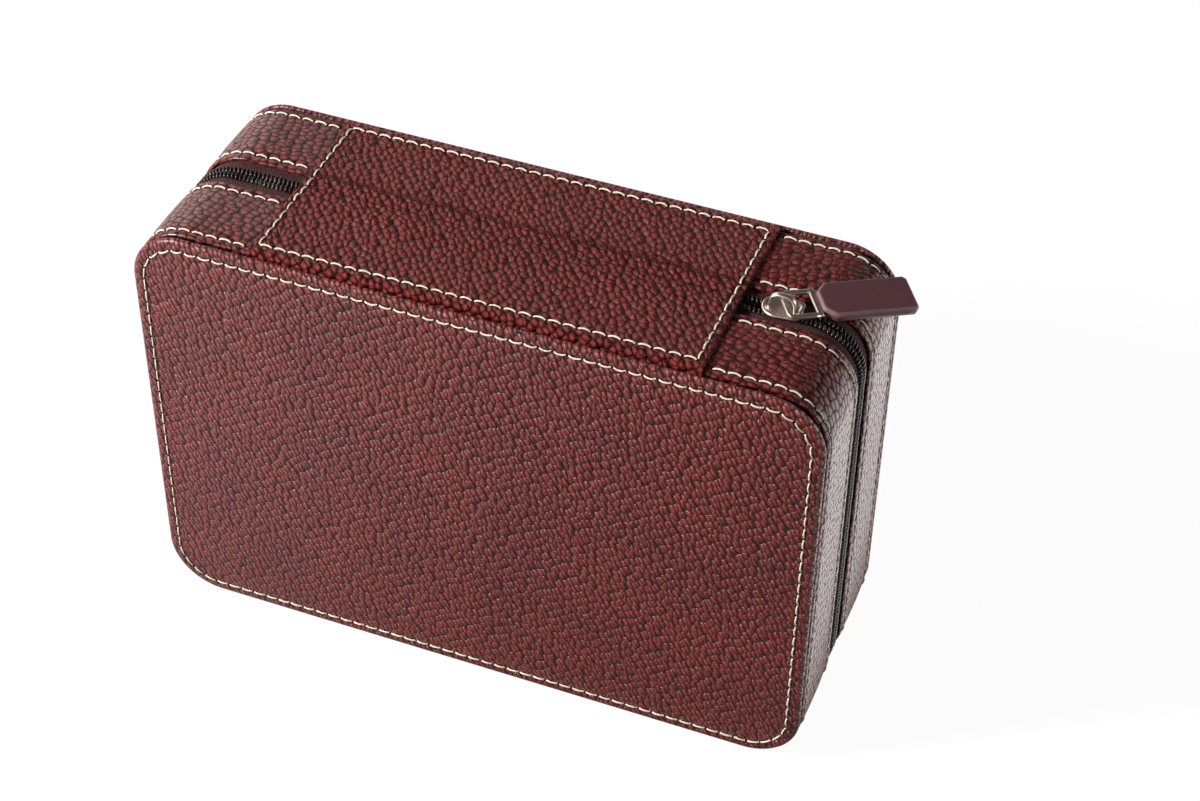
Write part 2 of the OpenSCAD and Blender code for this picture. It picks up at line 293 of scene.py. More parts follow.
# What shines back off the case is white at the horizon and to the left, and dark above.
heading = air.node("ShaderNodeTexCoord")
side, sky = air.axis(heading, 0), air.axis(heading, 2)
low_left = (1 - air.smooth(sky, 0.05, 0.3)) * (1 - air.smooth(side, -0.2, 0.5))
lightness = air.maths("MAXIMUM", low_left, 1 - air.smooth(side, -0.9, -0.35))
shade = air.mix(lightness, (CEILING, CEILING, CEILING, 1.0), (1.0, 1.0, 1.0, 1.0))
shone = air.plain("ShaderNodeBackground", Color=shade, Strength=1.0)
fill = air.plain("ShaderNodeBackground", Strength=WORLD_FILL)
white = air.plain("ShaderNodeBackground", Strength=1.0)
air.finish(air.either(air.ray_is("Camera", "Transmission"),
                      air.either(air.ray_is("Glossy"), fill, shone), white),
           "ShaderNodeOutputWorld")

FLOOR_HALF = 4.0
FLOOR_Z = -0.0006  # under the crowned leather of the bands
ground = Paint("floor_white")
ground_seen = ground.either(0.93, ground.plain("ShaderNodeBsdfDiffuse", 0.9),
                            ground.plain("ShaderNodeEmission", Strength=1.02))
ground_dim = ground.plain("ShaderNodeBsdfDiffuse", 0.28)
# A dark board keeps the glare off the right part of the front face, and a bright card to the
# right puts more of it on that side.
across, behind = (ground.axis(ground.place(), k) for k in (0, 1))
board = ground.either(ground.smooth(across, -0.24, 0.04), ground_seen, ground_dim)
card = ground.smooth(across, 0.12, 0.14) * ground.smooth(behind, -0.07, -0.04)
shone = ground.either(card, board, ground.plain("ShaderNodeEmission", Strength=2.0))
bounced = ground.either(ground.ray_is("Glossy"), ground_dim, shone)
ground.finish(ground.either(ground.ray_is("Camera", "Transmission"), bounced, ground_seen))
floor_mesh = bpy.data.meshes.new("floor")
floor_mesh.from_pydata([(x * FLOOR_HALF, y * FLOOR_HALF, FLOOR_Z)
                        for x, y in ((-1, -1), (1, -1), (1, 1), (-1, 1))], [], [(0, 1, 2, 3)])
floor_mesh.materials.append(ground.owner)
floor = linked("floor", floor_mesh)

AIM = Vector((0.0, 0.0, 0.08))
LAMPS = {  # place, width and watts
    "lamp_key": ((-1.15, -0.84, 0.86), 0.24, 46.0),
    "lamp_back_left": ((-0.95, 0.9, 0.8), 0.8, 3.0),
    "lamp_front": ((-0.7, -1.4, 0.25), 0.8, 4.0),
    "lamp_low_right": ((1.4, 0.3, 0.4), 0.7, 8.0)}
for name, (at, width, watts) in LAMPS.items():
    lamp = linked(name, bpy.data.lights.new(name, "AREA"))
    lamp.data.shape, lamp.data.size, lamp.data.energy = "DISK", width, watts
    lamp.location = at
    lamp.rotation_euler = (Vector(at) - AIM).to_track_quat("Z", "Y").to_euler()

# ---- Materials ----

# The leather's red by pebble height, with painted shade in the hollows and painted highlight on
# the crests.
LEATHER_STOPS = [(0.1, srgb(55, 9, 8)), (0.4, srgb(86, 19, 15)), (0.7, srgb(106, 28, 22)),
                 (0.95, srgb(119, 38, 31))]
TINT_STOPS = [(0.3, (0.84, 0.84, 0.84, 1.0)), (0.72, (1.14, 1.12, 1.12, 1.0))]
# Where each mark starts to fade and where it ends, in millimetres from its line or hole
PIT_FADE, TROUGH_FADE, FOLD_FADE, GROOVE_FADE = (0.25, 0.75), (0.3, 1.1), (0.2, 1.5), (0.45, 1.0)
# A random pebble tone, then painted shade for stitch holes and sewn rows, for creases and the
# fold, and for the groove.
PEBBLE_TINT, HOLE_SHADE = srgb(118, 46, 40), srgb(34, 12, 11)
CREASE_SHADE, GROOVE_SHADE = srgb(38, 8, 7), srgb(16, 4, 4)


# dark is how much painted shade goes into the pebbles' creases.
def leather(name, turn, stretch, cell, shift, coat, gloss, dark, relief_mm, grooved=1.0):
    """Pebbled leather on the grain map: stretched pebbles, creases, stitch holes and a fold, with
    painted shade in the hollows and painted highlight on the crests.
    """
    p = Paint(name)
    place = p.uv_mm()
    wave = p.noise(place, 0.16, 3.0, 0.6, "2D", out=1)
    grain = p.mapped(p.warped(place, wave, 1.1), (0, 0, math.radians(turn)),
                     (cell * stretch, cell, 1.0), (shift, shift, 0))
    edge = p.cells(grain, "DISTANCE_TO_EDGE")
    near = p.cells(grain, "SMOOTH_F1")
    tone = p.node("ShaderNodeSeparateColor", None, {0: p.cells(grain, "F1", out=1)})
    patchy = p.noise(place, 0.45, 2.0, 0.5, "2D")
    broad = p.noise(place, 0.03, 3.0, 0.55, "2D")
    speck = p.noise(place, 2.6, 3.0, 0.6, "2D")
    depth = 0.75 + p.smooth(patchy, 0.3, 0.65) * 0.25
    dome = p.maths("MAXIMUM", 1 - near * near * 1.7, 0.0)
    crease = (1 - p.smooth(edge, 0.0, 0.14)) * depth
    height = 0.18 + dome * (0.3 + depth * 0.4) - crease * 0.14 + speck * 0.08
    row = p.attribute("row_mm")
    hole = p.attribute("hole_mm")
    around = p.maths("SQRT", row * row + hole * hole)
    pit = 1 - p.smooth(around, *PIT_FADE)
    trough = 1 - p.smooth(row, *TROUGH_FADE)
    fold = 1 - p.smooth(p.attribute("fold_mm"), *FOLD_FADE)
    fold_mark = fold * p.smooth(p.noise(place, 1.1, 3.0, 0.7, "2D"), 0.42, 0.55)
    # Colour by height paints shade into the hollows and a highlight onto the crests.
    colour = p.node("ShaderNodeValToRGB", {"stops": LEATHER_STOPS}, {0: height})
    varied = p.mix(1.0, colour, p.node("ShaderNodeValToRGB", {"stops": TINT_STOPS}, {0: broad}),
                   "MULTIPLY")
    varied = p.mix(tone * 0.2, varied, PEBBLE_TINT)
    # Painted shade in the stitch holes and along the sewn rows.
    darkened = p.mix(p.maths("MAXIMUM", pit * 0.9, trough * 0.35), varied, HOLE_SHADE)
    # Painted shade in the pebbles' creases and along the patch's fold.
    darkened = p.mix(p.maths("MAXIMUM", fold_mark * 0.75, crease * dark), darkened, CREASE_SHADE)
    # Painted shade in the groove between the face panel and the band, found by its distance from
    # the middle plane; grooved says how much.
    from_mid = p.maths("ABSOLUTE", p.axis(p.object_mm(), 1) - MID_Y)
    groove = (1 - p.smooth(p.maths("ABSOLUTE", from_mid - GROOVE_MID), *GROOVE_FADE)) * grooved
    darkened = p.mix(groove * 0.93, darkened, GROOVE_SHADE)
    relief = height - pit * 0.6 - fold_mark * 0.5
    shine = (1 - crease) * (1 - pit) * (1 - groove) * (0.4 + dome * 0.6) * coat
    return p.surface(darkened, 0.35 + crease * 0.25, p.bump(relief, relief_mm, 1.0),
                     Specular_IOR_Level=gloss, Coat_Weight=shine, Coat_Roughness=0.3)


# The face's pebbles lean down to the right; the bands' lie along the band.
face_leather = leather("leather_face", turn=-58, stretch=1.75, cell=1.75, shift=0.0, coat=0.42,
                       gloss=0.46, dark=0.36, relief_mm=1.75)
band_leather = leather("leather_band", turn=12, stretch=1.4, cell=2.3, shift=7.0, coat=0.75,
                       gloss=0.14, dark=0.35, relief_mm=2.9)
patch_leather = leather("leather_patch", turn=-50, stretch=1.3, cell=2.3, shift=19.0, coat=0.05,
                        gloss=0.2, dark=0.35, relief_mm=3.0, grooved=0.0)


def thread_finish():
    p = Paint("thread_cream")
    place = p.object_mm()
    ply = p.node("ShaderNodeTexWave", {"wave_type": "BANDS", "bands_direction": "DIAGONAL"},
                 {"Vector": place, "Scale": 1.6, "Distortion": 1.0})
    soil = p.smooth(p.noise(place, 0.5, 3.0), 0.35, 0.7)
    colour = p.mix(ply, srgb(250, 243, 226), srgb(232, 216, 190))
    return p.surface(p.mix(soil * 0.25, colour, srgb(206, 180, 148)), 0.62,
                     p.bump(ply, 0.08))


def suede_finish(name, light, dark):
    p = Paint(name)
    place = p.object_mm()
    nap = p.noise(place, 3.0, 4.0, 0.7)
    brushed = p.noise(p.mapped(place, (0.3, 0.5, 0.8), (20, 7, 20)), 1.0, 3.0, 0.6)
    cloudy = p.smooth(p.noise(place, 0.02, 3.0), 0.3, 0.7)
    share = p.maths("MINIMUM", nap * 0.5 + brushed * 0.45 + cloudy * 0.2, 1.0)
    return p.surface(p.mix(share, dark, light), 0.95, p.bump(nap, 0.12, 0.7),
                     Specular_IOR_Level=0.2)


def board_finish():
    p = Paint("board_dark")
    place = p.object_mm()
    fibre = p.noise(p.mapped(place, (0.2, 0, 0.4), (5.0, 1.0, 5.0)), 2.0, 4.0, 0.7)
    return p.surface(p.mix(fibre, srgb(60, 34, 30), srgb(88, 56, 48)), 0.75 + fibre * 0.1,
                     p.bump(fibre, 0.1, 0.6))


def nickel_finish():
    p = Paint("nickel_warm")
    place = p.object_mm()
    smear = p.noise(place, 0.6, 3.0, 0.6)
    scratch = p.noise(p.mapped(place, (0.3, 0.2, 0.7), (2.5, 0.2, 1.0)), 1.4, 3.0, 0.7)
    colour = p.mix(smear, srgb(232, 218, 206), srgb(212, 194, 180))
    return p.surface(colour, 0.24 + scratch * 0.18, p.bump(scratch, 0.02, 0.5), 1.0)


def tab_finish():
    p = Paint("tab_maroon")
    place = p.object_mm()
    mottle = p.noise(place, 0.35, 3.0, 0.6)
    pore = p.noise(place, 7.0, 2.0, 0.6)
    # The tab's colour goes lighter towards its rounded edges, more on one face's edge.
    lightened_edge = p.smooth(p.attribute("edge_wear"), 0.1, 1.0)
    colour = p.mix(mottle, srgb(76, 42, 46), srgb(90, 52, 56))
    return p.surface(p.mix(lightened_edge * 0.5, colour, srgb(140, 106, 108)), 0.5 + pore * 0.12,
                     p.bump(pore, 0.05, 0.6))


def coil_finish():
    p = Paint("coil_nylon")
    place = p.object_mm()
    tint = p.noise(place, 1.5, 2.0)
    return p.surface(p.mix(tint, srgb(30, 14, 15), srgb(52, 28, 30)), 0.22 + tint * 0.15,
                     p.bump(tint, 0.03, 0.5), Coat_Weight=0.3, Coat_Roughness=0.25)


TAPE_COLUMN, TAPE_RIB, TAPE_YARN = 1.5, 1.15, 0.42


def tape_finish():
    """Herringbone: slanted ribs whose slant turns round at each column."""
    p = Paint("tape_woven")
    along, across = (p.axis(p.uv_mm(), k) for k in (0, 1))
    column = p.maths("PINGPONG", across, TAPE_COLUMN)
    rib = p.maths("SINE", (along + column * 1.1) * (2 * math.pi / TAPE_RIB))
    yarn = p.maths("SINE", across * (2 * math.pi / TAPE_YARN))
    ribbed = p.smooth(rib + yarn * 0.35, -0.7, 1.0)
    fuzz = p.noise(p.uv_mm(), 3.0, 3.0, 0.7, "2D")
    colour = p.mix(ribbed, srgb(28, 11, 11), srgb(108, 64, 60))
    return p.surface(p.mix(fuzz * 0.4, colour, srgb(52, 24, 24)), 0.8 + fuzz * 0.1,
                     p.bump(ribbed + fuzz * 0.3, 0.3, 1.0), Specular_IOR_Level=0.3)


thread_cream = thread_finish()
lining_suede = suede_finish("lining_suede", srgb(222, 208, 184), srgb(176, 156, 128))
cushion_suede = suede_finish("cushion_suede", srgb(232, 219, 196), srgb(190, 170, 142))
divider_suede = suede_finish("divider_suede", srgb(216, 201, 176), srgb(170, 150, 122))
board_dark = board_finish()
nickel_warm = nickel_finish()
tab_maroon = tab_finish()
coil_nylon = coil_finish()
tape_woven = tape_finish()

# ---- Mesh makers ----


def put_values(mesh, key, kind, field, values):
    """Gives a mesh's points an attribute."""
    mesh.attributes.new(key, kind, "POINT").data.foreach_set(
        field, np.asarray(values, np.float32).ravel())


def piece(name, points, faces, material, grain=None, values=None):
    """A mesh object from points in millimetres; grain is a pair per face corner."""
    mesh = bpy.data.meshes.new(name)
    mesh.from_pydata(metres(points).tolist(), [], [list(map(int, f)) for f in faces])
    if grain is not None:
        layer = mesh.uv_layers.new(name=GRAIN_MAP)
        layer.data.foreach_set("uv", np.asarray(grain, np.float32).ravel())
    for key, value in (values or {}).items():
        put_values(mesh, key, "FLOAT", "value", value)
    made = bmesh.new()
    made.from_mesh(mesh)
    bmesh.ops.remove_doubles(made, verts=made.verts, dist=1e-6)
    bmesh.ops.recalc_face_normals(made, faces=made.faces)
    made.to_mesh(mesh)
    made.free()
    mesh.shade_smooth()
    mesh.materials.append(material)
    return linked(name, mesh)


def squares(rows, columns):
    """The four corners of each square of a grid, as pairs of row and column numbers."""
    i, j = (a.ravel() for a in np.meshgrid(np.arange(rows), np.arange(columns), indexing="ij"))
    return (i, j), (i + 1, j), (i + 1, j + 1), (i, j + 1)


def swept(name, rings, material, closed, grain=None, values=None):
    """Joins rings of points, each a closed loop, into a tube; open ends get a cap."""
    rings = np.asarray(rings, float)
    count, size = rings.shape[:2]
    corners = squares(count if closed else count - 1, size)
    faces = np.stack([(a % count) * size + b % size for a, b in corners], 1).tolist()
    if not closed:
        faces += [list(range(size)), list(range((count - 1) * size, count * size))]
    uv = None
    if grain is not None:
        along, around = grain
        uv = np.stack([np.stack([along[a], around[b]], 1) for a, b in corners], 1).reshape(-1, 2)
        if not closed:
            uv = np.vstack([uv] + [np.stack([np.full(size, along[k]), around[:size]], 1)
                                   for k in (0, count - 1)])
    return piece(name, rings.reshape(-1, 3), faces, material, uv, values)


def lengths(path, closed=False):
    """Running length along points, with the closing step last where it is closed."""
    path = np.asarray(path, float)
    step = np.linalg.norm(np.diff(np.vstack([path, path[:1]]) if closed else path, axis=0), axis=1)
    return np.concatenate([[0.0], np.cumsum(step)])


def outline(inset, count=None, start=0.0, stop=None, phase=0.0):
    """Even stations round the case at an inset, from the middle of the top towards +X.

    Gives each one's core point, its outward direction and its length along the outline.
    The core is the rectangle of the corners' centres.
    """
    arc = math.pi / 2 * (CORNER_R - inset)
    legs = [((0, CORE_Z), (CORE_X, CORE_Z), 0, 0)]
    corners = [(CORE_X, CORE_Z), (CORE_X, -CORE_Z), (-CORE_X, -CORE_Z), (-CORE_X, CORE_Z)]
    for k, corner in enumerate(corners):
        legs.append((corner, corner, 90 * k, 90))
        nxt = corners[k + 1] if k < 3 else (0, CORE_Z)
        legs.append((corner, nxt, 90 * (k + 1), 0))
    sizes = [arc if sweep else math.dist(a, b) for a, b, _, sweep in legs]
    ends = np.cumsum(sizes)
    if stop is None:
        stop = ends[-1]
        at = start + (np.arange(count) + phase) * (stop - start) / count
    else:
        at = np.linspace(start, stop, count)
    core, out = np.zeros((len(at), 2)), np.zeros((len(at), 2))
    for n, s in enumerate(at):
        k = min(int(np.searchsorted(ends, s, side="right")), len(legs) - 1)
        a, b, turn, sweep = legs[k]
        share = (s - ends[k] + sizes[k]) / sizes[k]
        core[n] = np.array(a) + (np.array(b) - np.array(a)) * share
        angle = math.radians(turn + sweep * share)
        out[n] = math.sin(angle), math.cos(angle)
    return core, out, at, ends[-1]


def ring_points(core, out, depth, offset):
    """Points at a depth from the middle plane and an offset out of the outline."""
    reach = (CORNER_R + offset)[..., None] if np.ndim(offset) else CORNER_R + offset
    flat = core + out * reach
    return np.stack([flat[..., 0], np.broadcast_to(depth, flat[..., 0].shape),
                     flat[..., 1] + CASE_H / 2], -1)


def ways(out):
    """The ways along the outline and out of it, at each station."""
    level = np.zeros(len(out))
    return np.stack([out[:, 1], level, -out[:, 0]], 1), np.stack([out[:, 0], level, out[:, 1]], 1)


def stitch_count(inset):
    """How many stitches go round the case at an inset."""
    return round(outline(inset, 1)[3] / STITCH)


def sewn_outline(inset):
    """Stations round a row: as outline gives, the pitch, and each one's way to a hole."""
    count = stitch_count(inset)
    core, out, at, around = outline(inset, count * SAMPLES)
    pitch = around / count
    return core, out, at, around, pitch, np.minimum(at % pitch, -at % pitch)


def pucker(row, hole, pitch):
    """How much deeper the leather is sewn in near a hole."""
    return PUCKER * (1 - 2 * hole / pitch) * np.exp(-(row / 0.8) ** 2)


def marks(shape, row, hole, fold=NO_ROW):
    """Each point's way to a row, to a hole and to a fold, where the leather is dented and painted
    with shade.
    """
    return {key: np.broadcast_to(value, shape) for key, value in
            (("row_mm", row), ("hole_mm", hole), ("fold_mm", fold))}


def ripple(s, v):
    """A slow unevenness of soft leather, in millimetres."""
    return (np.sin(s * 0.11 + v * 0.07) + np.sin(s * 0.047 - v * 0.21 + 1.3)
            + np.sin(s * 0.23 + v * 0.13 + 2.1) * 0.5) * 0.05


# ---- Geometry Nodes that repeat a stitch or a coil turn ----

SMALLEST, LARGEST = 0.94, 1.04


def repeat_tree(name, sizes, shape):
    """A tree that puts one shape at each point, turned by the points' along and out."""
    tree = bpy.data.node_groups.new(name, "GeometryNodeTree")
    face = tree.interface
    face.new_socket("Geometry", in_out="INPUT", socket_type="NodeSocketGeometry")
    for key, value in sizes.items():
        face.new_socket(key, in_out="INPUT", socket_type="NodeSocketFloat").default_value = value
    face.new_socket("Seed", in_out="INPUT", socket_type="NodeSocketInt").default_value = 3
    face.new_socket("Material", in_out="INPUT", socket_type="NodeSocketMaterial")
    face.new_socket("Geometry", in_out="OUTPUT", socket_type="NodeSocketGeometry")

    def node(kind, settings=None, inputs=None, out=0):
        return new_node(tree, kind, settings, inputs).outputs[out]

    given = tree.nodes.new("NodeGroupInput").outputs
    solid = shape(node, given)
    turns = [node("GeometryNodeInputNamedAttribute", {"data_type": "FLOAT_VECTOR"},
                  {"Name": key}) for key in ("along", "out")]
    turn = node("FunctionNodeAxesToRotation", {"primary_axis": "X", "secondary_axis": "Z"},
                {0: turns[0], 1: turns[1]})
    size = node("FunctionNodeRandomValue", {"data_type": "FLOAT"},
                {2: SMALLEST, 3: LARGEST, "Seed": given["Seed"]}, out=1)
    many = node("GeometryNodeInstanceOnPoints", None,
                {"Points": given["Geometry"], "Instance": solid, "Rotation": turn, "Scale": size})
    real = node("GeometryNodeRealizeInstances", None, {0: many})
    done = node("GeometryNodeSetMaterial", None, {"Geometry": real, "Material": given["Material"]})
    smooth = node("GeometryNodeSetShadeSmooth", None, {0: done})
    tree.links.new(smooth, tree.nodes.new("NodeGroupOutput").inputs[0])
    return tree


def thread_shape(node, given):
    """An arched thread along X, one unit long before it is scaled."""
    arc = node("GeometryNodeCurvePrimitiveBezierSegment", None,
               {"Resolution": 6, "Start": (-0.5, 0, 0), "Start Handle": (-0.3, 1, 1.3),
                "End Handle": (0.3, 1, 1.3), "End": (0.5, 0, 0)})
    scale = node("ShaderNodeCombineXYZ", None,
                 {0: given["Length"], 1: given["Bend"], 2: given["Rise"]})
    path = node("GeometryNodeTransform", None, {"Geometry": arc, "Scale": scale})
    across = node("GeometryNodeCurvePrimitiveCircle", None,
                  {"Resolution": 6, "Radius": given["Radius"]})
    return node("GeometryNodeCurveToMesh", None,
                {"Curve": path, "Profile Curve": across, "Fill Caps": True})


def coil_shape(node, given):
    """One closed turn of wire, upright across the tape and leaning by Slant."""
    loop = node("GeometryNodeCurvePrimitiveCircle", None, {"Resolution": 12, "Radius": 1.0})
    scale = node("ShaderNodeCombineXYZ", None, {0: given["Half Height"], 1: given["Half Width"],
                                                2: 1.0})
    turn = node("ShaderNodeCombineXYZ", None, {0: given["Slant"], 1: -math.pi / 2, 2: 0.0})
    oval = node("GeometryNodeTransform", None, {"Geometry": loop, "Scale": scale})
    stood = node("GeometryNodeTransform", None, {"Geometry": oval, "Rotation": turn})
    wire = node("GeometryNodeCurvePrimitiveCircle", None,
                {"Resolution": 5, "Radius": given["Radius"]})
    return node("GeometryNodeCurveToMesh", None, {"Curve": stood, "Profile Curve": wire})


stitch_tree = repeat_tree("stitch_row", {"Length": 4.0 * MM, "Bend": 0.32 * MM, "Rise": 0.5 * MM,
                                         "Radius": 0.31 * MM}, thread_shape)
coil_tree = repeat_tree("coil_row", {"Half Width": 1.15 * MM, "Half Height": 0.95 * MM,
                                     "Radius": 0.38 * MM, "Slant": 0.3}, coil_shape)


def as_mesh(obj):
    """The shape that an object's modifiers give, as a plain mesh; they are removed."""
    bpy.context.view_layer.update()
    made = bpy.data.meshes.new_from_object(
        obj.evaluated_get(bpy.context.evaluated_depsgraph_get()))
    obj.modifiers.clear()
    return made


def repeated(name, tree, rows, material, sizes=None):
    """Runs a tree on rows of (points, along, out) and keeps the result as a plain mesh."""
    points, along, out = (np.vstack([row[k] for row in rows]) for k in range(3))
    mesh = bpy.data.meshes.new(name + "_points")
    mesh.from_pydata(metres(points).tolist(), [], [])
    put_values(mesh, "along", "FLOAT_VECTOR", "vector", along)
    put_values(mesh, "out", "FLOAT_VECTOR", "vector", out)
    carrier = linked(name + "_points", mesh)
    modifier = carrier.modifiers.new("repeat", "NODES")
    modifier.node_group = tree
    sockets = {item.name: item.identifier for item in tree.interface.items_tree
               if item.in_out == "INPUT"}
    for key, value in {**(sizes or {}), "Material": material}.items():
        modifier[sockets[key]] = value
    result = as_mesh(carrier)
    bpy.data.objects.remove(carrier)
    result.name = name
    return linked(name, result)


def place_piece(obj, body, slot, *nodes):
    """Rides a piece on its body and hides the nodes it stands for; slot is not used."""
    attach(obj, body)
    if nodes:
        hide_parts(*nodes)
    return obj


# ---- Side bands ----

ZIP_ROW = RIM_Y + 3.5
LIP_ROW = LIP_Y - 2.9
# Across the band from the zip's folded edge to the groove: depth and offset
BAND_OUTER = [
    (RIM_Y + 0.75, -1.3), (RIM_Y + 0.15, -1.1), (RIM_Y - 0.05, -0.65), (RIM_Y + 0.1, -0.22),
    (RIM_Y + 0.6, 0.06), (RIM_Y + 1.4, 0.2), (RIM_Y + 2.3, 0.12), (ZIP_ROW - 0.5, -0.08),
    (ZIP_ROW, -CHANNEL), (ZIP_ROW + 0.5, -0.08), (ZIP_ROW + 1.3, 0.12), (ZIP_ROW + 2.6, 0.24),
    (ZIP_ROW + 5.0, 0.32), (18.0, 0.36), (21.0, 0.38), (24.0, 0.36), (27.0, 0.34),
    (LIP_ROW - 5.0, 0.3), (LIP_ROW - 2.6, 0.22), (LIP_ROW - 1.2, 0.12), (LIP_ROW - 0.5, -0.06),
    (LIP_ROW, -CHANNEL), (LIP_ROW + 0.5, -0.06), (LIP_ROW + 1.1, 0.08), (LIP_ROW + 1.7, 0.06),
    (LIP_ROW + 2.3, -0.16), (LIP_Y - 0.25, -0.5), (LIP_Y, -1.0), (LIP_Y + 0.05, -1.7),
    (LIP_Y, -GROOVE_DEEP)]
BAND_INNER = [(LIP_Y - 0.6, -GROOVE_DEEP), (LIP_Y - 0.7, -BAND_T), (30.0, -BAND_T),
              (20.0, -BAND_T), (RIM_Y + 2.0, -BAND_T)]

for half, side in SIDES.items():
    core, out, at, around, pitch, hole = sewn_outline(0)
    profile = np.array(BAND_OUTER + BAND_INNER)
    across = lengths(profile, closed=True)
    row = np.minimum(np.abs(profile[:, 0] - ZIP_ROW), np.abs(profile[:, 0] - LIP_ROW))
    row[len(BAND_OUTER):] = NO_ROW
    on_top = (out[:, 1] > 0.999) & (np.abs(core[:, 0]) < PATCH_HALF - 1)
    soft = ripple(at[:, None], profile[None, :, 0]) * np.exp(-((profile[:, 0] - 22.6) / 11) ** 4)
    offset = (profile[None, :, 1] - pucker(row, hole[:, None], pitch)
              + np.where(profile[:, 1] > -0.3, soft, 0))
    offset = np.where(on_top[:, None], np.minimum(offset, 0.1), offset)
    rings = ring_points(core[:, None], out[:, None], side * profile[None, :, 0], offset)
    band = swept(f"{half}_leather_band", rings, band_leather, True,
                 (np.append(at, around), across),
                 marks(offset.shape, np.where(on_top[:, None], NO_ROW, row), hole[:, None]))
    place_piece(band, half, "leather", f"{half}_side_band")

# ---- Face covers ----

FACE_ROW = 4.2
FACE_EDGE, FACE_CROWN = 0.36, 0.25  # the rise at the first ring, and from there to the middle
# Round the panel's edge and onto its face: offset from the outline and depth
FACE_RIM = [(-2.2, PANEL_Y + 0.05), (-1.2, PANEL_Y + 0.06), (-0.55, PANEL_Y + 0.2),
            (-0.15, PANEL_Y + 0.55), (0.0, PANEL_Y + 1.1), (-0.12, PANEL_Y + 1.6),
            (-0.45, PANEL_Y + 2.0), (-0.95, PANEL_Y + 2.35), (-1.6, FACE_Y + 0.04),
            (-2.5, FACE_Y + 0.12), (-3.2, FACE_Y + 0.1), (-FACE_ROW + 0.5, FACE_Y - 0.06),
            (-FACE_ROW, FACE_Y - CHANNEL + 0.08), (-FACE_ROW - 0.5, FACE_Y - 0.06),
            (-FACE_ROW - 1.2, FACE_Y + 0.1), (-7.0, FACE_Y + 0.18), (-9.5, FACE_Y + 0.25),
            (-12.5, FACE_Y + 0.3), (-16.0, FACE_Y + FACE_EDGE)]
FACE_RINGS = 14

for half, side in SIDES.items():
    core, out, at, around, pitch, hole = sewn_outline(FACE_ROW)
    rim = np.array(FACE_RIM)
    row = np.where(rim[:, 1] > PANEL_Y + 2.2, np.abs(rim[:, 0] + FACE_ROW), NO_ROW)
    depth = side * (rim[None, :, 1] - pucker(row, hole[:, None], pitch))
    rings = ring_points(core[:, None], out[:, None], depth,
                        np.broadcast_to(rim[None, :, 0], depth.shape))
    spine_x = np.clip(core[:, 0], -(CORE_X - CORE_Z), CORE_X - CORE_Z)
    middle = np.stack([spine_x, np.full_like(spine_x, side * FACE_Y),
                       np.full_like(spine_x, CASE_H / 2)], 1)
    inner = []
    for k in range(1, FACE_RINGS + 1):
        share = k / FACE_RINGS
        loop = rings[:, -1] * (1 - share) + middle * share
        loop[:, 1] = side * (FACE_Y + FACE_EDGE + FACE_CROWN * math.sin(share * math.pi / 2)
                             + ripple(loop[:, 0], loop[:, 2]))
        inner.append(loop)
    points = np.concatenate([rings, np.stack(inner, 1)], 1)
    count, size = points.shape[:2]
    faces = np.stack([(a % count) * size + b for a, b in squares(count, size - 1)], 1).tolist()
    faces.append([k * size for k in range(count)])
    flat = points.reshape(-1, 3)
    grain = flat[np.concatenate(faces)][:, [0, 2]]
    grain[:, 0] *= -side
    row = np.concatenate([row, np.full(FACE_RINGS, NO_ROW)])
    cover = piece(f"{half}_face_cover", flat, faces, face_leather, grain,
                  marks((count, size), row, hole[:, None]))
    place_piece(cover, half, "leather", f"{half}_face_leather")

# ---- Spine patch, in two pieces that meet in the zip's plane ----

PATCH_T = PATCH_TOP - CASE_H
PATCH_THICK = PATCH_T - 0.2
PATCH_SIDE_ROW = PATCH_HALF - 2.7
PATCH_ROW = 34.8
PATCH_ENDS = {"base": "rear", "lid": "front"}
patch_along = round(2 * PATCH_SIDE_ROW / STITCH)
patch_across = 2 * round(PATCH_ROW / STITCH)
x_pitch = 2 * PATCH_SIDE_ROW / patch_along
d_pitch = 2 * PATCH_ROW / patch_across
# Depth and level over the patch's end, then back under it
PATCH_ROLL = [(35.5, 0.1), (36.2, 0.16), (36.9, 0.08), (LIP_Y - 0.7, -0.12), (LIP_Y - 0.1, -0.5),
              (LIP_Y + 0.4, -1.05), (LIP_Y + 0.66, -1.8), (LIP_Y + 0.72, -2.6),
              (LIP_Y + 0.64, -3.4)]
PATCH_UNDER = [(LIP_Y + 0.12, -3.4), (LIP_Y + 0.14, -2.2), (LIP_Y + 0.1, -1.72),
               (LIP_Y - 0.6, -1.44), (30.0, -1.4), (20.0, -1.4), (RIM_Y + 1.5, -1.42),
               (RIM_Y - 1.0, -1.6), (3.0, -1.95), (0.0, -2.0)]
# In from the patch's side edges: the way, and the share of the full height there
EDGE_STEPS = [(0.0, 0.3), (0.12, 0.62), (0.35, 0.86), (0.8, 1.0), (1.5, 1.05), (2.1, 1.0)]


def patch_height(x, d):
    """Height over the patch's nominal top: sag in the gap, ridge over the lid's edge, crease."""
    crease_d = RIM_Y - 0.8 + 0.7 * np.abs((x / 7.0) % 2 - 1) + 0.3 * np.sin(x * 0.9)
    return (-0.5 * np.exp(-(d / 5.0) ** 4) + 0.3 * np.exp(-((d + RIM_Y - 0.4) / 1.7) ** 2)
            - 0.32 * np.exp(-((d - crease_d) / 0.8) ** 2)
            + 0.16 * np.exp(-((d - RIM_Y - 2.2) / 1.6) ** 2)), np.abs(d - crease_d)


def bent(obj, half):
    """Bakes a spine piece's transform into its mesh."""
    tuple(metres((0, SIDES[half] * (RIM_Y - 2.0), PATCH_TOP)))
    tuple(metres((0, SIDES[half] * (RIM_Y + 2.0), PATCH_TOP)))
    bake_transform(obj)


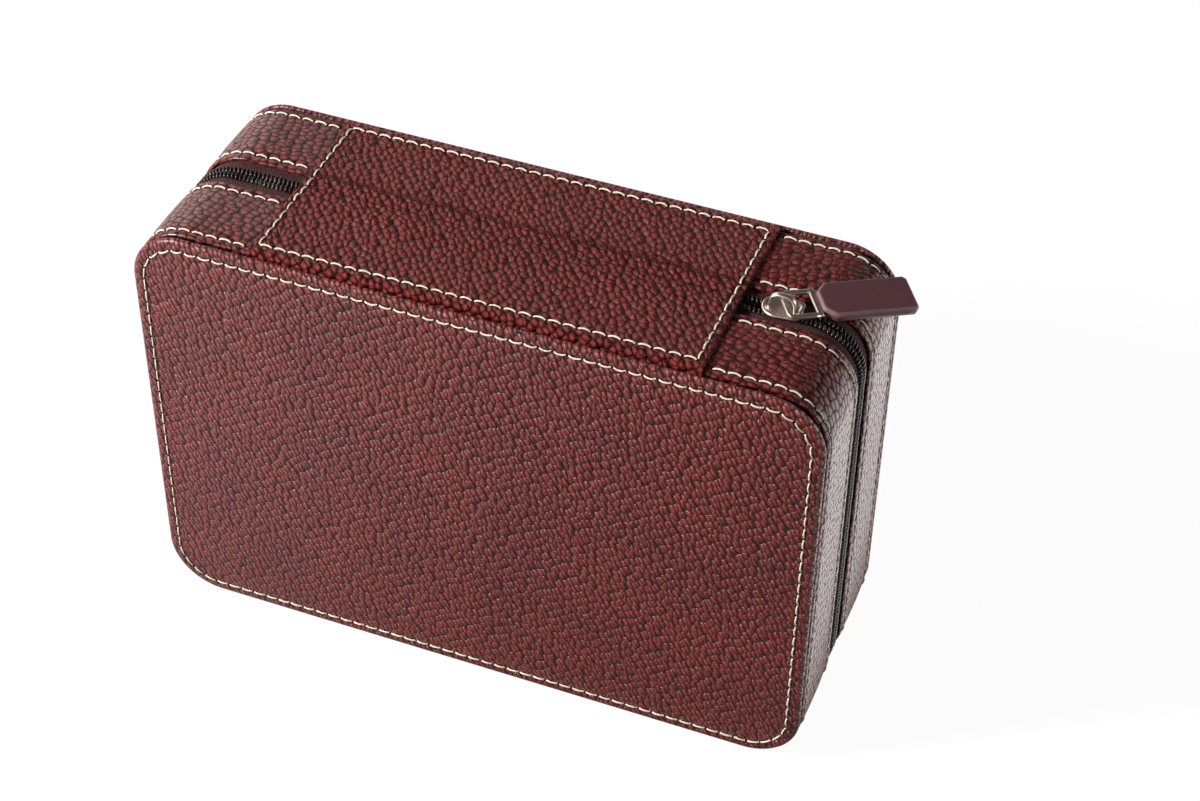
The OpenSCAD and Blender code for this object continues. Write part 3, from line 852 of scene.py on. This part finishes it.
for half, side in SIDES.items():
    body = np.linspace(-PATCH_SIDE_ROW, PATCH_SIDE_ROW, patch_along * SAMPLES + 1)
    xs = np.concatenate([[-PATCH_HALF + e for e, _ in EDGE_STEPS], body,
                         [PATCH_HALF - e for e, _ in reversed(EDGE_STEPS)]])
    lift = np.concatenate([[f for _, f in EDGE_STEPS], np.ones(len(body)),
                           [f for _, f in reversed(EDGE_STEPS)]])
    ds = np.linspace(0, PATCH_ROW, patch_across // 2 * SAMPLES + 1)
    top = np.array([(d, 0.0) for d in ds] + PATCH_ROLL)
    profile = np.vstack([top, PATCH_UNDER])
    is_top = np.arange(len(profile)) < len(top)
    X, D = np.meshgrid(xs, profile[:, 0], indexing="ij")
    side_row = np.abs(np.abs(X) - PATCH_SIDE_ROW) + np.where(D > PATCH_ROW + 0.2, NO_ROW, 0.0)
    end_row = np.abs(D - PATCH_ROW) + np.where(np.abs(X) > PATCH_SIDE_ROW + 0.2, NO_ROW, 0.0)
    row = np.where(is_top, np.minimum(side_row, end_row), NO_ROW)
    x_phase, d_phase = (X + PATCH_SIDE_ROW) % x_pitch, D % d_pitch
    hole = np.where(end_row < side_row, np.minimum(x_phase, x_pitch - x_phase),
                    np.minimum(d_phase, d_pitch - d_phase))
    rise, crease = patch_height(X, side * D)
    bumps = (rise + ripple(X, D) - CHANNEL * np.exp(-(row / 0.6) ** 2)
             - pucker(row, hole, STITCH))
    level = profile[None, :, 1] + np.where(is_top & (D < LIP_Y - 0.5), bumps, 0.0)
    level = np.where(is_top & (D < LIP_Y + 0.05),
                     (level + PATCH_THICK) * lift[:, None] - PATCH_THICK, level)
    rings = np.stack([X, side * D, PATCH_TOP + level], -1)
    across = lengths(profile, closed=True)
    # The patch's crease is given as its fold, which the leather dents and paints with shade.
    flap = swept(f"spine_patch_{PATCH_ENDS[half]}", rings, patch_leather, False,
                 (np.append(xs, xs[-1]), across * side),
                 marks(X.shape, row, hole, np.where(is_top & (side > 0), crease, NO_ROW)))
    bent(flap, half)
    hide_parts(f"spine_{PATCH_ENDS[half]}_flap")
    if half == "base":
        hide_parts("spine_fold_strip")

# ---- Stitching ----

THREAD_LIFT = 0.04


def tile(way, count):
    return np.tile(np.array(way, float), (count, 1))


def outline_row(inset, depth, offset, out_y=None):
    """Stitches round the case; out_y gives rows on a face their outward direction."""
    count = stitch_count(inset)
    core, out, _, _ = outline(inset, count, phase=0.5)
    along, outward = ways(out)
    if out_y is not None:
        outward = tile((0, out_y, 0), count)
    return ring_points(core, out, depth, offset), along, outward


for half, side in SIDES.items():
    rows = []
    for depth in (ZIP_ROW, LIP_ROW):
        points, along, outward = outline_row(0, side * depth, -CHANNEL + THREAD_LIFT)
        clear = ~((outward[:, 2] > 0.999) & (np.abs(points[:, 0]) < PATCH_HALF + 1.5))
        rows.append((points[clear], along[clear], outward[clear]))
    place_piece(repeated(f"{half}_band_stitches", stitch_tree, rows, thread_cream), half,
                "leather")
    row = outline_row(FACE_ROW, side * (FACE_Y - CHANNEL + 0.08 + THREAD_LIFT), -FACE_ROW, side)
    place_piece(repeated(f"{half}_face_stitches", stitch_tree, [row], thread_cream,
                         {"Bend": -0.3 * MM}), half, "leather")
    xs = -PATCH_SIDE_ROW + x_pitch * (np.arange(patch_along) + 0.5)
    level = PATCH_TOP - CHANNEL + THREAD_LIFT
    end = np.stack([xs, np.full_like(xs, side * PATCH_ROW), np.full_like(xs, level)], 1)
    rows = [(end, tile((1, 0, 0), len(xs)), tile((0, 0, 1), len(xs)))]
    ds = side * d_pitch * (np.arange(patch_across // 2) + 0.5)
    for x in (-PATCH_SIDE_ROW, PATCH_SIDE_ROW):
        seam = np.stack([np.full_like(ds, x), ds, level + patch_height(x, ds)[0] * 0.8], 1)
        rows.append((seam, tile((0, 1, 0), len(ds)), tile((0, 0, 1), len(ds))))
    bent(repeated(f"spine_stitches_{PATCH_ENDS[half]}", stitch_tree, rows, thread_cream), half)

# ---- Zip ----

COIL_MID = (COIL_LOW[1] + COIL_HIGH[1]) / 2
COIL_TOP_INSET = CASE_H - COIL_HIGH[2]
COIL_THICK = COIL_HIGH[2] - box_mm("zip_bottom_stop")[0][2]
TURN_PITCH = 1.55
TAPE_STATIONS = 280
SLIDER_X = SLIDER_LOW[0] + (SLIDER_HIGH[1] - SLIDER_LOW[1]) / 2
TAPE_SHORT, COIL_SHORT = 0.2, 3.0  # how far they stop short of the zip's ends
PARTED, PARTING = 1.05, 5.0  # how far a coil leaves the other behind the slider, and over what way
LOCKED = 0.3  # how far the turns reach between the other coil's
# Across the tape's outer face, then back along its inner one: depth and offset
TAPE_OUTER = [(COIL_HIGH[1] - 0.6, -1.25), (COIL_HIGH[1] + 0.2, -1.12),
              (COIL_HIGH[1] + 1.2, -1.2), (RIM_Y - 1.0, -1.32), (RIM_Y + 1.0, -1.44),
              (12.0, -1.46), (TAPE_HIGH[1] - 0.3, -1.46)]
TAPE_INNER = [(TAPE_HIGH[1] - 0.3, -1.95), (12.0, -1.95), (RIM_Y, -1.93),
              (COIL_HIGH[1] + 0.6, -1.8), (COIL_HIGH[1] - 0.6, -1.7)]

zip_round = outline(0, 1)[3]
for half, side in SIDES.items():
    core, out, at, _ = outline(0, TAPE_STATIONS, start=ZIP_END + TAPE_SHORT,
                               stop=zip_round - ZIP_END - TAPE_SHORT)
    profile = np.array(TAPE_OUTER + TAPE_INNER)
    rings = ring_points(core[:, None], out[:, None], side * profile[None, :, 0],
                        np.broadcast_to(profile[None, :, 1], (len(at), len(profile))))
    tape = swept(f"{half}_woven_tape", rings, tape_woven, False,
                 (np.append(at, at[-1]), lengths(profile, closed=True)))
    place_piece(tape, half, "zip_tape", f"{half}_zip_tape")
    turns = int((zip_round - 2 * (ZIP_END + COIL_SHORT)) / TURN_PITCH)
    start = ZIP_END + COIL_SHORT + (TURN_PITCH / 2 if side > 0 else 0.0)
    core, out, at, _ = outline(0, turns, start=start, stop=start + (turns - 1) * TURN_PITCH)
    parted = PARTED * np.clip((SLIDER_X + 1.0 - at) / PARTING, 0, 1)
    points = ring_points(core, out, side * (COIL_MID - LOCKED + parted),
                         -COIL_TOP_INSET - COIL_THICK / 2 + 0.1)
    along, outward = ways(out)
    coil = repeated(f"{half}_coil_turns", coil_tree, [(points, along * side, outward)], coil_nylon)
    place_piece(coil, half, "zip_coil", f"{half}_zip_coil")

# ---- Slider and puller ----

PLATE_T = 1.2
RIM_H = 0.35  # how far the plate's middle lies under its rim
TAIL_HALF, TAIL_R = 4.8, 2.0
SQUARENESS = 0.72  # a bar's round section turns square as this goes down


def arc(x, y, radius, start, end, steps):
    """Points on an arc about (x, y), from one angle to another in degrees."""
    return [(x + radius * math.cos(a), y + radius * math.sin(a))
            for a in np.linspace(math.radians(start), math.radians(end), steps)]


def plan(inset):
    """The slider plate's outline: a round wide end and a tapering tail, set in by a distance."""
    wide = (SLIDER_HIGH[1] - SLIDER_LOW[1]) / 2 - inset
    tail_x = SLIDER_HIGH[0] - SLIDER_X - inset
    tail_y = TAIL_HALF - inset
    turn = min(TAIL_R, tail_y)
    return np.array(arc(0, 0, wide, 90, 270, 28)
                    + arc(tail_x - turn, turn - tail_y, turn, -90, 0, 8)
                    + arc(tail_x - turn, tail_y - turn, turn, 0, 90, 8))


def plate(name, levels):
    """A closed plate from (inset, height) levels, first to last."""
    rings = []
    for inset, z in levels:
        loop = plan(inset)
        rings.append(np.stack([loop[:, 0] + SLIDER_X, loop[:, 1], np.full(len(loop), z)], 1))
    return swept(name, rings, nickel_warm, False)


top_z, low_z = SLIDER_HIGH[2], SLIDER_LOW[2]
upper = plate("slider_top_plate", [
    (3.0, top_z - PLATE_T), (0.4, top_z - PLATE_T), (0.05, top_z - PLATE_T + 0.3),
    (0.0, top_z - 0.5), (0.1, top_z - 0.1), (0.4, top_z + 0.1), (0.8, top_z + 0.1),
    (1.15, top_z - 0.08), (1.35, top_z - RIM_H), (1.8, top_z - RIM_H - 0.06),
    (3.2, top_z - RIM_H - 0.04)])
place_piece(upper, "slider", "nickel", "slider_body")
sole = plate("slider_sole", [
    (3.0, low_z + PLATE_T), (0.35, low_z + PLATE_T), (0.0, low_z + PLATE_T - 0.3),
    (0.0, low_z + 0.35), (0.5, low_z), (3.0, low_z)])
place_piece(sole, "slider", "nickel")


def bar(name, path, section, material, closed=False):
    """Sweeps a section, given as (sideways, upwards) sizes at each station, along a path.

    Each station is (point, direction, sideways direction).
    """
    rings = []
    for k, (at, ahead, aside) in enumerate(path):
        at, ahead, aside = (np.array(v, float) for v in (at, ahead, aside))
        lift = np.cross(ahead, aside)
        wide, high = section[k] if isinstance(section, list) else section
        ring = []
        for c, s in arc(0, 0, 1, 0, 330, 12):
            c, s = (math.copysign(abs(t) ** SQUARENESS, t) for t in (c, s))
            ring.append(at + aside * c * wide / 2 + lift * s * high / 2)
        rings.append(ring)
    return swept(name, rings, material, closed)


ARCH_POWER = 0.7  # the arch turns square as this goes down
ARCH_SECTION = (2.0, 1.2)
POST_FROM, POST_STEP, POST_WIDE = -5.4, 1.15, 1.4
bridge_mid = (BRIDGE_LOW[0] + BRIDGE_HIGH[0]) / 2
bridge_half = (BRIDGE_HIGH[0] - BRIDGE_LOW[0]) / 2 - 0.6
bridge_rise = BRIDGE_HIGH[2] - top_z - 0.6
arch = []
for t in np.linspace(0, math.pi, 25):
    flat = math.copysign(abs(math.cos(t)) ** ARCH_POWER, math.cos(t))
    tall = math.sin(t) ** ARCH_POWER * (bridge_rise + RIM_H)
    arch.append(np.array([bridge_mid - bridge_half * flat, 0, top_z - RIM_H + tall]))
arch = [arch[0] - [0, 0, 0.3]] + arch + [arch[-1] - [0, 0, 0.3]]
steps = np.gradient(np.array(arch), axis=0)
bridge = bar("slider_arch",
             [(p, d / np.linalg.norm(d), (0, -1, 0)) for p, d in zip(arch, steps)],
             ARCH_SECTION, nickel_warm)
place_piece(bridge, "slider", "nickel", "slider_bridge")
post_z = (top_z + low_z) / 2
post = bar("slider_post",
           [((SLIDER_X + POST_FROM + k * POST_STEP, 0, post_z), (1, 0, 0), (0, 1, 0))
            for k in range(3)],
           (POST_WIDE, top_z - low_z - 1.4), nickel_warm)
place_piece(post, "slider", "nickel")

# The puller's own frame: U along it, V along its hinge bar, N off its face
swing = next(j for j in frame["joints"] if j["name"] == "puller_swing")
PULL_U = np.array((0.794, 0.5983, -0.1072))
PULL_V = -np.array(swing["axis"], float)
PULL_U = PULL_U - PULL_V * PULL_U.dot(PULL_V)
PULL_U /= np.linalg.norm(PULL_U)
PULL_N = np.cross(PULL_U, PULL_V)
PIVOT = np.array(swing["pos_m"], float) / MM - SHIFT
LOOP_HIGH, LOOP_LOW, LOOP_R = 2.7, -7.7, 1.5
WIRE, STOUTER = 1.4, 0.45
FAR_U, FAR_W = 10.3, 2.2
TAB_START, TAB_LONG, TAB_WIDE, TAB_THICK = 11.3, 32.0, 15.0, 3.6
TAB_MID = (LOOP_HIGH + LOOP_LOW) / 2


def pulled(u, v, n=0.0):
    """A point in the puller's frame, at rest."""
    return PIVOT + PULL_U * u + PULL_V * v + PULL_N * n


side_us = np.linspace(8.2, LOOP_R, 4)
wire = [(FAR_U, LOOP_HIGH)] + [(u, LOOP_HIGH) for u in side_us]
wire += arc(LOOP_R, LOOP_HIGH - LOOP_R, LOOP_R, 105, 165, 5)
wire += [(0.0, v) for v in np.linspace(LOOP_HIGH - LOOP_R, LOOP_LOW + LOOP_R, 5)]
wire += arc(LOOP_R, LOOP_LOW + LOOP_R, LOOP_R, 195, 255, 5)
wire += [(u, LOOP_LOW) for u in side_us[::-1]] + [(FAR_U, LOOP_LOW)]
ahead = np.gradient(np.array(wire), axis=0)
ahead /= np.linalg.norm(ahead, axis=1)[:, None]
stations = [(pulled(u, v), PULL_U * du + PULL_V * dv, PULL_V * du - PULL_U * dv)
            for (u, v), (du, dv) in zip(wire, ahead)]
section = [(WIRE + STOUTER * min(max((u - 1.5) / 2.5, 0), 1), WIRE) for u, _ in wire]
loop = bar("puller_wire", stations, section, nickel_warm)
place_piece(loop, "puller", "nickel", "puller_loop")
far_vs = (LOOP_LOW - 0.7, LOOP_LOW - 0.55, LOOP_LOW, TAB_MID, LOOP_HIGH, LOOP_HIGH + 0.55,
          LOOP_HIGH + 0.7)
far_bar = bar("puller_far_bar", [(pulled(FAR_U, v), PULL_V, -PULL_U) for v in far_vs],
              [(1.6, 1.0)] + [(FAR_W, WIRE)] * 5 + [(1.6, 1.0)], nickel_warm)
place_piece(far_bar, "puller", "nickel")


def tab_loop(inset, cut=3.6, end_cut=1.4):
    """The tab's eight-cornered outline, set in by a distance, each side in short steps."""
    half = TAB_WIDE / 2 - inset
    low, high = TAB_START + inset, TAB_START + TAB_LONG - inset
    cut, end_cut = cut - inset * 0.6, max(end_cut - inset * 0.6, 0.3)
    corners = [(low, cut - half), (low + cut, -half), (high - end_cut, -half),
               (high, end_cut - half), (high, half - end_cut), (high - end_cut, half),
               (low + cut, half), (low, half - cut)]
    loop = []
    for k, (a, b) in enumerate(zip(corners, corners[1:] + corners[:1])):
        steps = 10 if k in (1, 5) else 4
        loop += [(a[0] + (b[0] - a[0]) * t / steps, a[1] + (b[1] - a[1]) * t / steps)
                 for t in range(steps)]
    return loop


# Up the tab's side: inset, height as a share of half the thickness, and how much lighter the
# colour is there
TAB_LEVELS = [(4.0, -1.0, 0), (1.2, -1.0, 0), (0.75, -0.97, 0.3), (0.3, -0.72, 1.0),
              (0.08, -0.4, 0.7), (0.0, -0.1, 0.2), (0.0, 0.1, 0.2), (0.08, 0.4, 0.7),
              (0.3, 0.72, 1.0), (0.75, 0.97, 0.9), (1.2, 0.985, 0.2), (4.0, 1.0, 0)]
rings = [[pulled(u, v + TAB_MID, n * TAB_THICK / 2) for u, v in tab_loop(inset)]
         for inset, n, _ in TAB_LEVELS]
lightening = np.repeat([w for _, _, w in TAB_LEVELS], len(rings[0]))
tab = swept("puller_moulded_tab", rings, tab_maroon, False, values={"edge_wear": lightening})
place_piece(tab, "puller", "tab_cover", "puller_tab")

# ---- Inside ----

CUSHION_SLACK = 1.5  # all round, before it is blown up
CROWN_FROM, CROWN_GAIN = 0.55, 2.2  # as shares of the half size, and of the crown
CLOTH_FRAMES = 20
SEAM_DEEP, SEAM_WIDE, SEAM_FROM = 1.1, 1.6, 18.0
PAD_R, PAD_PUFF, PAD_EDGE = 14.0, 7.0, 0.3
QUILT_DEEP, QUILT_WIDE = 0.42, 3.2


def rounded(x, z, size, corner_r):
    """Draws the corners of a face's grid of points in to a radius."""
    fx, fz = size[0] / 2 - corner_r, size[2] / 2 - corner_r
    ox, oz = np.maximum(np.abs(x) - fx, 0), np.maximum(np.abs(z) - fz, 0)
    both = (ox > 0) & (oz > 0)
    far, norm = np.maximum(ox, oz), np.maximum(np.hypot(ox, oz), 1e-6)
    return (np.where(both, np.sign(x) * (fx + ox * far / norm), x),
            np.where(both, np.sign(z) * (fz + oz * far / norm), z))


def soft_box(name, low, high, corner_r, edge, crown, spacing):
    """A closed block with rounded corners and crowned faces; x and z lie in its face."""
    size = high - low
    made = bmesh.new()
    bmesh.ops.create_cube(made, size=1.0)
    bmesh.ops.subdivide_edges(made, edges=made.edges, use_grid_fill=True,
                              cuts=max(6, *(int(side / spacing) for side in size)) - 1)
    p = np.array([v.co for v in made.verts], float)
    reach = np.abs(p) * 2
    x, z = rounded(p[:, 0] * size[0], p[:, 2] * size[2], size, corner_r)
    rim = 2 * edge / size[1]
    pull = edge * np.maximum(0, reach[:, 1] - (1 - rim)) / rim
    shrink = 1 - pull * pull / edge * 2 / min(size[0], size[2])
    outer = np.maximum(0, np.maximum(reach[:, 0], reach[:, 2]) - CROWN_FROM)
    y = p[:, 1] * size[1] * (1 - crown * outer ** 2 * CROWN_GAIN)
    placed = (high + low) / 2 + np.stack([x * shrink, y, z * shrink], 1)
    for v, co in zip(made.verts, metres(placed)):
        v.co = co
    mesh = bpy.data.meshes.new(name)
    bmesh.ops.recalc_face_normals(made, faces=made.faces)
    made.to_mesh(mesh)
    made.free()
    return linked(name, mesh)


def settled(obj, voxel, cap, pressure=4.0):
    """Blows the cover up with cloth and keeps the result in the mesh, within the cap."""
    remesh = obj.modifiers.new("remesh", "REMESH")
    remesh.mode, remesh.voxel_size = "VOXEL", voxel * MM
    obj.data = as_mesh(obj)
    rest = np.array([v.co for v in obj.data.vertices])
    cloth = obj.modifiers.new("cloth", "CLOTH").settings
    cloth.use_pressure = True
    cloth.uniform_pressure_force = pressure
    cloth.effector_weights.gravity = 0
    for number in range(1, CLOTH_FRAMES + 1):
        bpy.context.scene.frame_set(number)
    moved = np.array([v.co for v in as_mesh(obj).vertices]) - rest
    bpy.context.scene.frame_set(1)
    far = np.linalg.norm(moved, axis=1, keepdims=True)
    moved *= np.minimum(1, cap * MM / np.maximum(far, 1e-9))
    for v, p in zip(obj.data.vertices, rest + moved):
        v.co = p


def subdivided(obj):
    modifier = obj.modifiers.new("smooth", "SUBSURF")
    modifier.levels = modifier.render_levels = 1
    obj.data = as_mesh(obj)


def fitted(obj, low, high):
    """Scales a piece's mesh so that it fills the box."""
    co = np.array([v.co for v in obj.data.vertices])
    now_low, now_high = co.min(0), co.max(0)
    share = (co - now_low) / (now_high - now_low)
    co = metres(low) + share * (metres(high) - metres(low))
    obj.data.vertices.foreach_set("co", co.ravel())
    obj.data.update()


cushion_low, cushion_high = box_mm("watch_cushion_1")
first = soft_box("watch_cushion_cover", cushion_low + CUSHION_SLACK, cushion_high - CUSHION_SLACK,
                 corner_r=9.0, edge=6.0, crown=0.2, spacing=4.0)
settled(first, voxel=4.0, cap=6.0)
subdivided(first)
fitted(first, cushion_low, cushion_high)
seam = metres((cushion_low + cushion_high) / 2)
for v in first.data.vertices:
    pull = SEAM_DEEP * MM * math.exp(-((v.co.y - seam[1]) / (SEAM_WIDE * MM)) ** 2)
    away = Vector((v.co.x - seam[0], 0, v.co.z - seam[2]))
    if away.length > SEAM_FROM * MM:
        v.co -= away.normalized() * pull
for n in range(1, 9):
    low = box_mm(f"watch_cushion_{n}")[0]
    cover = linked(f"padded_cushion_{n}", first.data.copy())
    cover.data.transform(Matrix.Translation((low - cushion_low) * MM))
    cover.data.materials.clear()
    cover.data.materials.append(cushion_suede)
    cover.data.shade_smooth()
    place_piece(cover, "base", "cushion_suede", f"watch_cushion_{n}")
bpy.data.objects.remove(first)

pad_low, pad_high = box_mm("lid_pad")
size, middle = pad_high - pad_low, (pad_high + pad_low) / 2
pad_nx, pad_nz = 110, 72
U, V = np.meshgrid(np.linspace(0, 1, pad_nx + 1), np.linspace(0, 1, pad_nz + 1), indexing="ij")
X, Z = rounded((U - 0.5) * size[0], (V - 0.5) * size[2], size, PAD_R)
edge = np.minimum(np.minimum(U, 1 - U) * size[0], np.minimum(V, 1 - V) * size[2])
puff = np.sqrt(np.clip(1 - (1 - np.clip(edge / PAD_PUFF, 0, 1)) ** 2, 0, 1))
quilt = np.ones_like(U)
for share in (0.25, 0.5, 0.75):
    quilt -= QUILT_DEEP * np.exp(-((U - share) * size[0] / QUILT_WIDE) ** 2)
quilt = np.minimum(quilt, 1 - QUILT_DEEP * np.exp(-((V - 0.5) * size[2] / QUILT_WIDE) ** 2))
front_y = pad_high[1] - size[1] * (1 - (PAD_EDGE + (1 - PAD_EDGE) * puff * quilt))
top, low = (np.stack([X + middle[0], y, Z + middle[2]], -1).reshape(-1, 3)
            for y in (front_y, np.full_like(front_y, pad_low[1])))
nz = pad_nz + 1
grid = np.stack([a * nz + b for a, b in squares(pad_nx, pad_nz)], 1).tolist()
rim = ([i * nz for i in range(pad_nx)] + [pad_nx * nz + j for j in range(pad_nz)]
       + [i * nz + pad_nz for i in range(pad_nx, 0, -1)] + list(range(pad_nz, 0, -1)))
faces = grid + [tuple(len(top) + k for k in reversed(f)) for f in grid]
faces += [(a, b, b + len(top), a + len(top)) for a, b in zip(rim, rim[1:] + rim[:1])]
pad = piece("lid_quilted_pad", np.vstack([top, low]), faces, cushion_suede)
place_piece(pad, "lid", "cushion_suede", "lid_pad")

# ---- Finishes of the CAD's own nodes ----

FINISHES = [
    (board_dark, "base_shell lid_shell base_face_board lid_face_board"),
    (lining_suede, "base_lining lid_lining hinge_gusset"),
    (divider_suede, "long_divider cross_divider_1 cross_divider_2 cross_divider_3"),
    (nickel_warm, "base_top_stop lid_top_stop zip_bottom_stop")]
for finish, names in FINISHES:
    for name in names.split():
        node = frame["nodes"][name]
        node.data.materials.clear()
        node.data.materials.append(finish)
